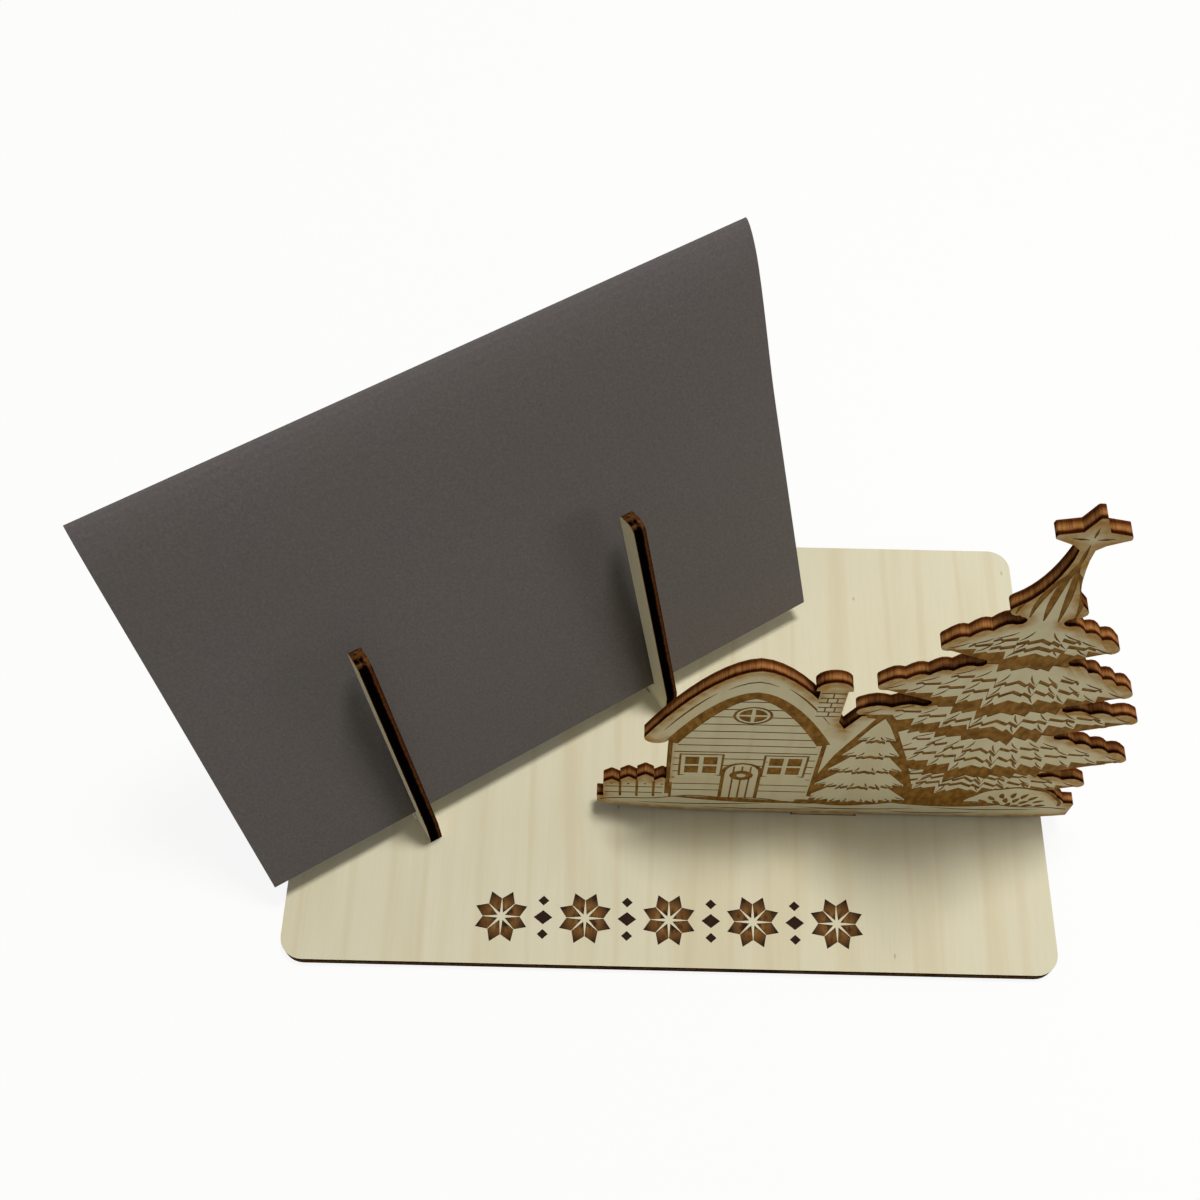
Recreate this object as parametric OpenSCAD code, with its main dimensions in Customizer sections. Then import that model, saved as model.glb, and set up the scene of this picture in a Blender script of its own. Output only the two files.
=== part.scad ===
// Desk stand for a folded gift card, plugged together from laser-cut three-ply board.
// A base plate carries two slotted forks, turned away from the front edge, in which the
// card stands leaning back, and an upright cut-out panel with a winter scene beside it.
// Units are millimetres. The origin is the middle of the plate's underside, +X runs to
// the right along the front edge, +Y to the back and +Z up.

/* [Board] */
// Thickness of the three-ply board that every wooden piece is cut from
ply_t = 3; // [2:0.1:5]
// Thickness of each of the two face plies
face_t = 0.7; // [0.5:0.1:0.9]
// Play between a tab and its slot on each side
slot_play = 0.25; // [0.1:0.05:0.4]

/* [Base plate] */
// Width of the plate
plate_w = 180; // [160:1:220]
// Depth of the plate from front to back
plate_d = 115; // [105:1:150]
// Radius of the plate's corners
plate_r = 5.5; // [1:0.5:12]

/* [Engraved band] */
// How deep the laser burns the band into the top ply
band_depth = 0.25; // [0.1:0.05:0.4]
// Diameter of each eight-petal star
band_star_d = 13; // [8:0.5:16]
// Number of stars in the row
band_stars = 5; // [3:1:7]
// Distance from one star's centre to the next
band_pitch = 19.6; // [18:0.2:24]
// Distance of the row's centre line from the front edge
band_y = 11.2; // [9:0.2:14]

/* [Forks] */
// Place of the pair's middle, to the right of the plate's middle
rack_x = -31.1; // [-34:0.1:-28]
// Place of the pair's middle, behind the plate's middle
rack_y = -4.9; // [-8:0.1:-2]
// Turn of the card away from the front edge, in degrees
rack_turn = 32.4; // [20:0.1:36]
// Distance between the middles of the two forks
fork_gap = 66.2; // [50:0.2:80]
// Width of the front prong
prong_w = 6; // [4:0.5:7]
// Width of the rear prong
rear_prong_w = 6.5; // [5:0.5:8]
// Lean of the front prong from upright, in degrees
prong_lean = 18; // [14:1:20]
// Height of the front prong's tip above the plate
prong_top = 60; // [40:1:70]
// Height of the slot's floor above the plate, where the card's lower edge stands
slot_floor = 7; // [6:0.2:12]
// Height of the upright toe below the front prong
toe_h = 9; // [6:0.5:12]
// Reach of the heel behind the card's lower edge
heel = 19; // [16:0.5:24]
// Length of the tab under each fork
fork_tab = 12; // [8:0.5:14]

/* [Card] */
// Width of the folded card
card_w = 148; // [120:1:160]
// Height of each leaf from its lower edge to the fold
leaf_h = 105; // [90:1:120]
// Thickness of the card stock
card_t = 0.5; // [0.3:0.1:0.8]
// Lean of the card from upright, in degrees
card_lean = 22.8; // [20:0.2:26]
// Half the distance over both leaves where the forks hold them
leaf_half = 1.2; // [1:0.1:1.6]
// The same where the springy fold bulges most
bulge_half = 2.4; // [1.8:0.1:2.4]
// Distance that the card's middle stands to the right of the forks' middle
card_shift = 3; // [-4:0.5:6]

/* [Panel] */
// Distance of the panel's front face from the plate's front edge
panel_y = 38.6; // [34:0.2:44]
// Gap between the plate and the panel's lower edge, as the tab's end stands on the table
panel_lift = 0.8; // [0:0.1:1.5]
// Middle of the panel's tab, to the right of the plate's middle
panel_tab_x = 37.2; // [30:0.2:44]
// Length of the panel's tab
panel_tab = 15.3; // [10:0.1:20]

/* [Panel outline] */
// Left end of the snowy ground, to the right of the plate's middle
ground_x0 = -17.6; // [-20:0.2:-14]
// Right end of the snowy ground
ground_x1 = 95; // [92:0.5:98]
// Height of the cottage's eaves above the table
eaves_z = 45; // [38:1:48]
// Height of the top of the snow on the cottage's roof
roof_z = 77; // [68:1:82]
// Middle of the cottage
cottage_x = 15.5; // [12:0.5:18]
// Half the width of the snow on the roof
roof_half = 22.5; // [18:0.5:24]
// Middle of the tall fir's trunk
fir_x = 66; // [64:0.5:68]
// Centre height of the star on the tall fir
star_z = 126; // [120:0.5:130]
// Outer radius of the star
star_r = 6.3; // [5:0.5:8]

/* [Hidden] */
$fn = 64;
core_t = ply_t - 2 * face_t;
sliver = 0.01;          // overrun that keeps a cut's faces apart
table_gap = 0.1;        // tabs end this far above the table
card_gap = 0.3;         // room between the card's faces and the forks
floor_gap = 0.1;        // room between the card's lower edges and the slot's floor
slot_w = ply_t + 2 * slot_play;

front_y = -plate_d / 2;
panel_front = front_y + panel_y;
panel_z = ply_t + panel_lift;

// Boughs of the tall fir from the top to the bottom: reach of the tip from the trunk, height
// of the tip above the table and depth of the notch under the bough, 0 where there is none
left_boughs = [[8.5, 102.5, 0.8], [18, 88.5, 7], [27, 71.5, 9], [29.5, 60, 0]];
right_boughs = [[5.6, 102, 0.4], [15.5, 88.5, 5], [24, 70, 9], [29, 58, 12], [33, 38.5, 14], [28, 24.5, 8]];
notch_h = 3;            // height of the notches between the boughs
notch_slope = 0.42;     // fall of a bough's underside towards the trunk
leader_x = -0.9;        // place of the leader under the star, beside the trunk's middle
leader_w = 2.6;         // width of the bare leader
kerf = 0.15;            // width of the cutting beam
tip_r = 1.6;            // radius of a bough's snowy tip
lump_h = 1.2;           // height of the snow's lumps along a bough
lump_pitch = 5;         // distance from one lump to the next
rounding = 0.35;        // radius that the cutting beam leaves on outer corners
eaves_r = 2.8;          // radius of the snow's edge at the eaves
chimney_x = 12.5;       // left side of the chimney, to the right of the cottage's middle
chimney_w = 5.6;        // width of the chimney
chimney_z = 69;         // height of the chimney's top above the table
pickets = 4;            // number of fence pickets
picket_w = 3.9;         // width of a picket
fence_z = 25;           // height of the fence's tallest picket above the table
bush_x = 80;            // middle of the round shrub
bush_r = 12.5;          // radius of the round shrub
bank_z = 13;            // height of the snow bank on the panel's right
fork_tab_y = 1.5;       // place of the tab's front end behind the card's front lower edge
round_tip = 2;          // radius of a prong's front corner
small_round = 1;        // radius of a prong's rear corner

poplar = [0.84, 0.81, 0.70];
poplar_core = [0.62, 0.42, 0.24];
card_grey = [0.34, 0.32, 0.30];

// Point reached from p by going v along a line that leans back, and w square to it
function lean_to(p, lean, v, w) =
    [p[0] + v * sin(lean) + w * cos(lean), p[1] + v * cos(lean) - w * sin(lean)];

// Points of an arc round c, from angle a0 to a1
function arc(c, r, a0, a1, steps = 8) =
    [for (i = [0:steps]) let (a = a0 + (a1 - a0) * i / steps) [c[0] + r * cos(a), c[1] + r * sin(a)]];

function reversed(list) = [for (i = [len(list) - 1:-1:0]) list[i]];
function mirrored(list) = [for (p = reversed(list)) [-p[0], p[1]]];

// Base plate

module rounded_rectangle(w, d, r) {
    hull_w = w / 2 - r;
    hull_d = d / 2 - r;
    polygon(concat(
        arc([hull_w, hull_d], r, 0, 90),
        arc([-hull_w, hull_d], r, 90, 180),
        arc([-hull_w, -hull_d], r, 180, 270),
        arc([hull_w, -hull_d], r, 270, 360)));
}

module plate_outline() {
    difference() {
        rounded_rectangle(plate_w, plate_d, plate_r);
        for (side = [-1, 1])
            on_rack_flat(side * fork_gap / 2)
                translate([-slot_w / 2, fork_tab_y - slot_play])
                    square([slot_w, fork_tab + 2 * slot_play]);
        translate([panel_tab_x - panel_tab / 2 - slot_play, panel_front - slot_play])
            square([panel_tab + 2 * slot_play, slot_w]);
    }
}

module on_rack_flat(s) {
    translate([rack_x, rack_y]) rotate(rack_turn) translate([s, 0]) children();
}

// One eight-petal star: every petal is a lozenge that points outwards
module petal_star(d) {
    reach = d / 2;
    for (k = [0:7])
        rotate(45 * k + 22.5)
            polygon([[reach * 0.14, 0], [reach * 0.62, reach * 0.25], [reach, 0],
                     [reach * 0.62, -reach * 0.25]]);
}

module lozenge(w, h) {
    polygon([[-w / 2, 0], [0, -h / 2], [w / 2, 0], [0, h / 2]]);
}

module band() {
    first = -(band_stars - 1) / 2;
    translate([0, front_y + band_y]) {
        for (i = [0:band_stars - 1])
            translate([(first + i) * band_pitch, 0])
                petal_star(band_star_d);
        for (i = [0:band_stars - 2])
            translate([(first + i + 0.5) * band_pitch, 0])
                for (k = [-1:1])
                    translate([0, k * band_star_d * 0.31])
                        lozenge(k == 0 ? 4.4 : 2.6, k == 0 ? 3.4 : 2.4);
    }
}

module base_top_ply() {
    color(poplar)
        difference() {
            translate([0, 0, ply_t - face_t]) linear_extrude(face_t) plate_outline();
            translate([0, 0, ply_t - band_depth]) linear_extrude(band_depth + sliver) band();
        }
}

module base_core_ply() {
    color(poplar_core)
        translate([0, 0, face_t]) linear_extrude(core_t) plate_outline();
}

module base_bottom_ply() {
    color(poplar) linear_extrude(face_t) plate_outline();
}

// Forks: the outline lies in the plane square to the card, with the card's front lower
// edge above the zero of its first axis and the plate's top at the zero of its second

card_foot = [0, slot_floor + floor_gap];
floor_front = lean_to(card_foot, card_lean, -floor_gap, -card_gap);
floor_rear = lean_to(card_foot, card_lean, -floor_gap, 2 * leaf_half + card_gap);
prong_l = (prong_top - floor_front[1]) / cos(prong_lean);
rear_l = (prong_top - floor_rear[1]) / cos(card_lean);

// End of a prong, from its right side over the rounded end to its left side, seen with
// the prong upright: w is its width, l its length, r0 and r1 the two corner radii
function prong_end(w, l, r0, r1) =
    concat(arc([w - r0, l - r0], r0, 0, 90, 5), arc([r1, l - r1], r1, 90, 180, 5));

function leaned(list, p, lean) = [for (q = list) lean_to(p, lean, q[1], q[0])];

module fork_outline() {
    toe_x = floor_front[0] - prong_w / cos(prong_lean)
        + (toe_h - floor_front[1]) * tan(prong_lean);
    rear_out = lean_to(floor_rear, card_lean, 0, rear_prong_w);
    heel_top = lean_to(rear_out, card_lean, 11, 0);
    front_end = leaned(prong_end(prong_w, prong_l, small_round, round_tip),
        lean_to(floor_front, prong_lean, 0, -prong_w), prong_lean);
    rear_end = leaned(prong_end(rear_prong_w, rear_l, round_tip, small_round),
        floor_rear, card_lean);
    heel_r = heel - heel_top[0];
    polygon(concat(
        [[fork_tab_y, 0], [toe_x, 0], [toe_x, toe_h]],
        reversed(front_end),
        [floor_front, floor_rear],
        reversed(rear_end),
        [heel_top],
        arc([heel, heel_top[1]], heel_r, 185, 262, 6),
        [[heel, 1.5], [heel, 0],
         [fork_tab_y + fork_tab, 0], [fork_tab_y + fork_tab, table_gap - ply_t],
         [fork_tab_y, table_gap - ply_t]]));
}

// One ply of a fork: s is the place of its left face along the card
module fork_ply(s, t) {
    translate([rack_x, rack_y, ply_t])
        rotate([0, 0, rack_turn])
            translate([s, 0, 0])
                rotate([90, 0, 90])
                    linear_extrude(t)
                        fork_outline();
}

fork_left = -fork_gap / 2 - ply_t / 2;
fork_right = fork_gap / 2 - ply_t / 2;

module left_fork_outer_ply() { color(poplar) fork_ply(fork_left, face_t); }
module left_fork_core_ply() { color(poplar_core) fork_ply(fork_left + face_t, core_t); }
module left_fork_inner_ply() { color(poplar) fork_ply(fork_left + face_t + core_t, face_t); }
module right_fork_inner_ply() { color(poplar) fork_ply(fork_right, face_t); }
module right_fork_core_ply() { color(poplar_core) fork_ply(fork_right + face_t, core_t); }
module right_fork_outer_ply() { color(poplar) fork_ply(fork_right + face_t + core_t, face_t); }

// Card: two leaves that run down from a springy fold, drawn upright in their own plane,
// first axis from front to back and second axis up along the leaf

bulge_from = 0.57 * leaf_h;     // height up the leaf where the bulge starts
bulge_at = 0.895 * leaf_h;      // height of the thickest place

// Rise from 0 to 1 with a level start and end
function ease(t) = t * t * (3 - 2 * t);

// Right-hand side of the card's outline, inset by the distance d
function leaf_side(d) = concat(
    [[leaf_half - d, 0]],
    [for (i = [0:8]) let (t = i / 8)
        [leaf_half - d + (bulge_half - leaf_half) * ease(t),
         bulge_from + (bulge_at - bulge_from) * t]],
    [for (a = [15:15:90])
        [(bulge_half - d) * cos(a), bulge_at + (leaf_h - d - bulge_at) * sin(a)]]);

module card_outline() {
    outer = leaf_side(0);
    inner = leaf_side(card_t);
    half_outer = [for (i = [0:len(outer) - 2]) outer[i]];
    half_inner = [for (i = [0:len(inner) - 2]) inner[i]];
    polygon(concat(outer, mirrored(half_outer), reversed(mirrored(half_inner)), reversed(inner)));
}

module folded_card() {
    color(card_grey)
        translate([rack_x, rack_y, ply_t])
            rotate([0, 0, rack_turn])
                translate([card_shift - card_w / 2, card_foot[0], card_foot[1]])
                    rotate([-card_lean, 0, 0])
                        translate([0, leaf_half, 0])
                            rotate([90, 0, 90])
                                linear_extrude(card_w)
                                    card_outline();
}

// Panel: the outline lies in the upright plane, first axis to the right and second up

// Points along a bough's upper edge from a out to b, with snow lying on it in lumps
function snowy(a, b) =
    let (lumps = max(1, round(norm(b - a) / lump_pitch)), steps = 4 * lumps)
        [for (i = [0:steps - 1]) let (t = i / steps)
            a + (b - a) * t + [0, lump_h * abs(sin(180 * lumps * t))]];

// Points of a hollow sweep from the leader at a down and out to b
function sweep(a, b) =
    let (turn = [a[0] * 0.8 + b[0] * 0.2, b[1] + 4.5])
        [for (i = [0:7]) let (t = i / 8)
            a * (1 - t) * (1 - t) + turn * 2 * t * (1 - t) + b * t * t];

// Right-hand outline of the boughs, from start at the top down to the lowest one
function bough_line(boughs, start, i = 0) =
    i == len(boughs) ? [] :
    let (w = boughs[i][0], z = boughs[i][1], depth = boughs[i][2],
         over = [w - tip_r / 2, z + tip_r * 0.87],
         notch = [w - tip_r - depth, z - tip_r - notch_slope * depth - notch_h / 2])
        concat(
            i == 0 ? sweep(start, over) : snowy(start, over),
            arc([w - tip_r, z], tip_r, 50, -110, 5),
            depth == 0 ? [] : arc(notch, notch_h / 2, 90, 270, 5),
            bough_line(boughs, notch - [0, notch_h / 2], i + 1));

// Tall fir: its topmost boughs sweep up into the bare leader that carries the star
module fir() {
    leader_foot = star_z - star_r;
    left = bough_line(left_boughs, [leader_w / 2 - leader_x, leader_foot]);
    right = bough_line(right_boughs, [leader_w / 2 + leader_x, leader_foot]);
    polygon(concat(
        reversed(mirrored(left)),
        [[-left_boughs[3][0] + 4, panel_z + 6], [right_boughs[5][0] - 10, panel_z + 6]],
        reversed(right)));
    translate([leader_x, star_z]) star(star_r);
}

// Star of three free arms, hollow between them: the leader takes the place of the two
// lower ones. Each arm is [direction, direction of the hollow after it], in degrees
module star(r) {
    hollow = 0.5 * r;
    blunt = 5;
    arms = [[7, 46], [90, 134], [173, 212]];
    polygon(concat(
        [[leader_w / 2, -r - 1], [leader_w / 2, -hollow], hollow * [cos(-32), sin(-32)]],
        [for (arm = arms) each [
            r * [cos(arm[0] - blunt), sin(arm[0] - blunt)],
            r * [cos(arm[0] + blunt), sin(arm[0] + blunt)],
            hollow * [cos(arm[1]), sin(arm[1])]]],
        [[-leader_w / 2, -hollow], [-leader_w / 2, -r - 1]]));
}

// Cottage: snow swells over the gable and hangs over the walls, and caps the chimney
module cottage() {
    wall = roof_half - 5.5;
    half = concat(
        [for (i = [0:10]) let (t = i / 10)
            [roof_half * t, eaves_z + (roof_z - eaves_z) * (1 - pow(t, 1.7))]],
        arc([roof_half - eaves_r, eaves_z], eaves_r, 0, -150, 6),
        [[wall, eaves_z], [wall, panel_z + 2]]);
    translate([cottage_x, 0]) {
        polygon(concat(half, mirrored(half)));
        translate([chimney_x, eaves_z]) square([chimney_w, chimney_z - eaves_z]);
        translate([chimney_x + chimney_w / 2, chimney_z])
            polygon(arc([0, 0], chimney_w / 2 + 1, 0, 180, 10));
    }
}

// Fence: pointed pickets side by side, the tallest in the middle
module fence() {
    x0 = ground_x0 + 1.6;
    tops = [for (i = [0:pickets - 1]) fence_z - abs(i - 2) * 1.6];
    polygon(concat(
        [for (i = [0:pickets - 1], k = [0:2])
            [x0 + (i + k / 2) * picket_w + (k == 2 ? -sliver : 0), tops[i] - (k == 1 ? 0 : 2)]],
        [[x0 + pickets * picket_w, panel_z + 5], [x0, panel_z + 5]]));
}

// Snowy ground: its lower edge curves up to a thin tip on the left and a little on the right
module ground() {
    left_run = 30;
    right_run = 14;
    left_up = 4.2;
    right_up = 2.2;
    polygon(concat(
        [for (i = [0:8]) let (t = 1 - i / 8)
            [ground_x0 + left_run * (1 - t), panel_z + left_up * t * t]],
        [for (i = [0:5]) let (t = i / 5)
            [ground_x1 - right_run * (1 - t), panel_z + right_up * t * t]],
        [for (i = [0:10]) let (t = i / 10)
            [ground_x1 - 0.6 * i * t - (ground_x1 - ground_x0 - 6) * t,
             bank_z - 2.6 * t + 1.5 * sin(450 * t)]]));
}

// Shrubs: one closes the gap between the cottage and the tall fir, and a round snowy one
// stands under the lowest boughs at the panel's right end
module shrubs() {
    polygon([[cottage_x, panel_z + 2], [cottage_x + roof_half - 3, eaves_z + 6],
        [cottage_x + roof_half, eaves_z + 13], [fir_x, eaves_z + 13],
        [fir_x + 18, bank_z], [fir_x + 18, panel_z + 4]]);
    translate([bush_x, bank_z - 4])
        polygon([for (i = [0:30]) let (a = 6 * i, r = bush_r + 0.7 * abs(sin(5 * a)))
            [r * cos(a), r * sin(a)]]);
}

// The cut line follows all of the scene at once: the inner pair of offsets bridges the
// hairline gaps that the cutting beam can't enter, the outer pair rounds the corners
module panel_outline() {
    offset(r = rounding, $fn = 16)
        offset(delta = -kerf - rounding)
            offset(delta = kerf) {
                ground();
                fence();
                cottage();
                shrubs();
                translate([fir_x, 0]) fir();
                panel_tab_shape();
            }
}

module panel_tab_shape() {
    translate([panel_tab_x - panel_tab / 2, table_gap]) square([panel_tab, panel_z + 1]);
}

// One ply of the panel: y is the place of its front face
module panel_ply(y, t) {
    translate([0, y + t, 0]) rotate([90, 0, 0]) linear_extrude(t) panel_outline();
}

module panel_front_ply() { color(poplar) panel_ply(panel_front, face_t); }
module panel_core_ply() { color(poplar_core) panel_ply(panel_front + face_t, core_t); }
module panel_back_ply() { color(poplar) panel_ply(panel_front + face_t + core_t, face_t); }

base_top_ply();
base_core_ply();
base_bottom_ply();
left_fork_outer_ply();
left_fork_core_ply();
left_fork_inner_ply();
right_fork_inner_ply();
right_fork_core_ply();
right_fork_outer_ply();
panel_front_ply();
panel_core_ply();
panel_back_ply();
folded_card();
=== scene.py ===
# %% [markdown]
# A desk stand for a folded gift card, cut by laser from thin plywood. The shapes of the
# plates, forks and card come ready made from the CAD frame, one object for every ply of
# wood. This script dresses them: it burns a winter scene into the upright panel, mixes the
# woods, the burnt edges and the card stock, and sets up the camera and a soft studio.

# %% Load the frame
import math

import bpy
import numpy as np
from mathutils import Matrix, Vector
from mathutils.geometry import delaunay_2d_cdt


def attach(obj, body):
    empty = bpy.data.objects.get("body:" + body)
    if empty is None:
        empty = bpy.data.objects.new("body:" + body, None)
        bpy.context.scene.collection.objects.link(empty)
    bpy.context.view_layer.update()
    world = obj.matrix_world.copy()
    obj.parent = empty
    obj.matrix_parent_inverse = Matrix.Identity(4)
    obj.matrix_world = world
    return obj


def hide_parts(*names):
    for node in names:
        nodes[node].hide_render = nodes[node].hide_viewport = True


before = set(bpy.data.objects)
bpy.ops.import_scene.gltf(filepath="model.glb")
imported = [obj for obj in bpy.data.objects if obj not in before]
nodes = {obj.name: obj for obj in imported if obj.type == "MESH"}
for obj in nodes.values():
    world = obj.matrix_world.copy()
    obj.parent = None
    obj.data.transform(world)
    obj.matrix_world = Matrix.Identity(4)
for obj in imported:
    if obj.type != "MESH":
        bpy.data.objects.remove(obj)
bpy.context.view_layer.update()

# %% [markdown]
# The picture is square, but while a script runs Blender keeps a wide picture size, so the
# camera's lens is worked out from the focal length in pixels of the 1200-pixel picture. The
# camera stands in front of the plate, high up, and looks steeply down. Its optical axis
# doesn't meet the middle of the picture, because the object was cut out and centred
# afterwards: the small shifts say by how much. Turning the camera to aim at the middle
# instead would change the perspective.

# %% Camera
MM = 0.001
picture = 1200
focal_px = 1386.6
axis_px = (623.3, 667.7)
sensor_mm = 36.0
camera_place_mm = (-10.44, -144.28, 317.25)
heading_deg, tilt_deg, roll_deg = 0.573, 90 - 62.41, 0.759

camera_data = bpy.data.cameras.new("photo_camera")
camera_data.sensor_width = sensor_mm
camera_data.lens = focal_px / picture * sensor_mm
camera_data.shift_x = (picture / 2 - axis_px[0]) / picture
camera_data.shift_y = (axis_px[1] - picture / 2) / picture
camera_data.clip_start = 0.01
camera = bpy.data.objects.new("photo_camera", camera_data)
bpy.context.scene.collection.objects.link(camera)
turn = (Matrix.Rotation(math.radians(heading_deg), 4, "Z") @ Matrix.Rotation(math.radians(tilt_deg), 4, "X")
        @ Matrix.Rotation(math.radians(roll_deg), 4, "Z"))
camera.matrix_world = Matrix.Translation(Vector(camera_place_mm) * MM) @ turn
bpy.context.scene.camera = camera
print(f"lens {camera_data.lens:.1f} mm, {camera.location.z / MM:.0f} mm above the table")

# %% [markdown]
# Colours are written as the hex values that a screen shows. Shaders work in linear light, so
# one function turns the first into the second. Another one adds a shader node, links it to
# the nodes before it and hands on its output, so that a material reads from top to bottom
# like a recipe.

# %% Colours and shader nodes
def linear(hex_colour):
    """A screen colour such as '#D3CDB4' as the linear red, green, blue and alpha of a shader."""
    parts = [int(hex_colour[i:i + 2], 16) / 255 for i in (1, 3, 5)]
    return [p / 12.92 if p <= 0.04045 else ((p + 0.055) / 1.055) ** 2.4 for p in parts] + [1.0]


def node(tree, kind, inputs, out=None, stops=None, **settings):
    """Adds a shader node and returns its output of the name out, or else its first one in use.

    Each input is a constant or another node's output. Stops are the (place, colour) pairs of
    a colour ramp.
    """
    made = tree.nodes.new("ShaderNode" + kind)
    for key, value in settings.items():
        setattr(made, key, value)
    for key, value in inputs.items():
        if isinstance(value, bpy.types.NodeSocket):
            tree.links.new(value, made.inputs[key])
        else:
            made.inputs[key].default_value = value
    if stops:
        elements = made.color_ramp.elements
        while len(elements) < len(stops):
            elements.new(0.5)
        for element, (place, colour) in zip(elements, stops):
            element.position, element.color = place, linear(colour)
    return made.outputs[out] if out else next(o for o in made.outputs if o.enabled)


def new_material(name):
    """An empty material, its node tree and its surface shader."""
    material = bpy.data.materials.new(name)
    material.use_nodes = True
    return material, material.node_tree, material.node_tree.nodes["Principled BSDF"]


print("cream of the face veneer in linear light:", [round(c, 3) for c in linear("#D4CDB1")[:3]])

# %% [markdown]
# Every wooden piece is cut from the same three-ply board, but each lies at its own angle. A
# board frame turns a piece's coordinates into its own: x across the grain, y along the
# grain and z through the thickness, from 0 at the plain side to 3 mm at the show side. All
# patterns are then mixed once, in these coordinates, in millimetres.

# %% Board frames
BOARD = 3.0
rack_turn = math.radians(32.4)
along_card = Vector((math.cos(rack_turn), math.sin(rack_turn), 0))
rack_middle = Vector((-31.1, -4.9, BOARD))
fork_gap = 66.2
plate_depth, panel_setback = 115.0, 38.6
panel_front_y = panel_setback - plate_depth / 2


def board_frame(origin, normal, grain):
    """Matrix from a board's own millimetres to the CAD frame's millimetres."""
    z = Vector(normal).normalized()
    x = Vector(grain).cross(z).normalized()
    turned = Matrix((x, z.cross(x), z)).transposed().to_4x4()
    return Matrix.Translation(Vector(origin)) @ turned


board_frames = {
    "base": board_frame((0, 0, 0), (0, 0, 1), (0, 1, 0)),
    "panel": board_frame((0, panel_front_y + BOARD, 0), (0, -1, 0), (0, 0, 1)),
}
for side, s in (("left_fork", -fork_gap / 2), ("right_fork", fork_gap / 2)):
    right_face = rack_middle + (s + BOARD / 2) * along_card
    board_frames[side] = board_frame(right_face, -along_card, (0, 0.3, 1))
print("boards:", ", ".join(board_frames))

# %% [markdown]
# Poplar plywood, sawn and sanded but not varnished. One material per board holds three
# finishes: face veneer, burnt edge and engraved floor. They could be three materials, but
# then every ply's faces would have to be sorted by hand. Instead the shader tells them apart
# by the surface's own direction and by its depth under the show side, so the same recipe
# serves all the CAD plies.

# %% Place, tint and grain
def board_space(tree, board):
    """The place on the board in millimetres, its depth z, and 1 on faces or 0 on cut edges."""
    back = board.inverted()
    here = node(tree, "TexCoord", {}, "Object")
    place = node(tree, "Mapping", {"Vector": here, "Location": back.translation,
                                   "Rotation": back.to_euler(), "Scale": (1 / MM,) * 3})
    z = node(tree, "SeparateXYZ", {0: place}, "Z")
    show_side = board.to_3x3() @ Vector((0, 0, 1))
    facing = node(tree, "VectorMath", {0: here.node.outputs["Normal"], 1: show_side}, operation="DOT_PRODUCT")
    flat = node(tree, "Math", {0: facing}, operation="ABSOLUTE")
    return place, z, node(tree, "Math", {0: flat, 1: 0.5}, operation="GREATER_THAN")


def tint(tree, colour, over, pattern, low, high, most, blend="MIX"):
    """The hex colour over laid on colour, from nothing where pattern is low to most where it is high."""
    amount = node(tree, "MapRange", {0: pattern, 1: low, 2: high, 3: 0.0, 4: most})
    return node(tree, "Mix", {0: amount, 6: colour, 7: linear(over)}, data_type="RGBA", blend_type=blend)


def grain(tree, place, width_mm, stretch, detail=3.0):
    """Noise whose spots are width_mm wide and stretch times as long, along the wood's grain."""
    per_spot = (1 / width_mm, 1 / (width_mm * stretch), 1 / width_mm)
    scaled = node(tree, "VectorMath", {0: place, 1: per_spot}, operation="MULTIPLY")
    return node(tree, "TexNoise", {"Vector": scaled, "Scale": 1.0, "Detail": detail, "Roughness": 0.55})


print("a point of the plate's top lies at z =",
      round((board_frames["base"].inverted() @ Vector((10, 10, BOARD))).z, 3), "mm in its board frame")

# %% [markdown]
# The face ply is a sliced veneer, pale cream and matt. Growth rings cross it as broad, faint
# bands about 10 mm apart, which a wave texture gives once it is bent a little. Over them lie
# faint streaks and finer fibres along the grain, and here and there a brown fleck. A picture
# of veneer would do for one plate, but noise in real millimetres fits every piece. Real
# fibres are far too fine to show, so they are drawn 0.45 mm wide.

# %% Face veneer
cloud_mm, ring_mm, band_mm, streak_mm, fibre_mm = 38.0, 10.0, 9.0, 5.0, 0.45
fleck_cell_mm, plain_cells = 24.0, 0.55
fleck_solid_to, fleck_gone_at = 0.004, 0.016


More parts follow.
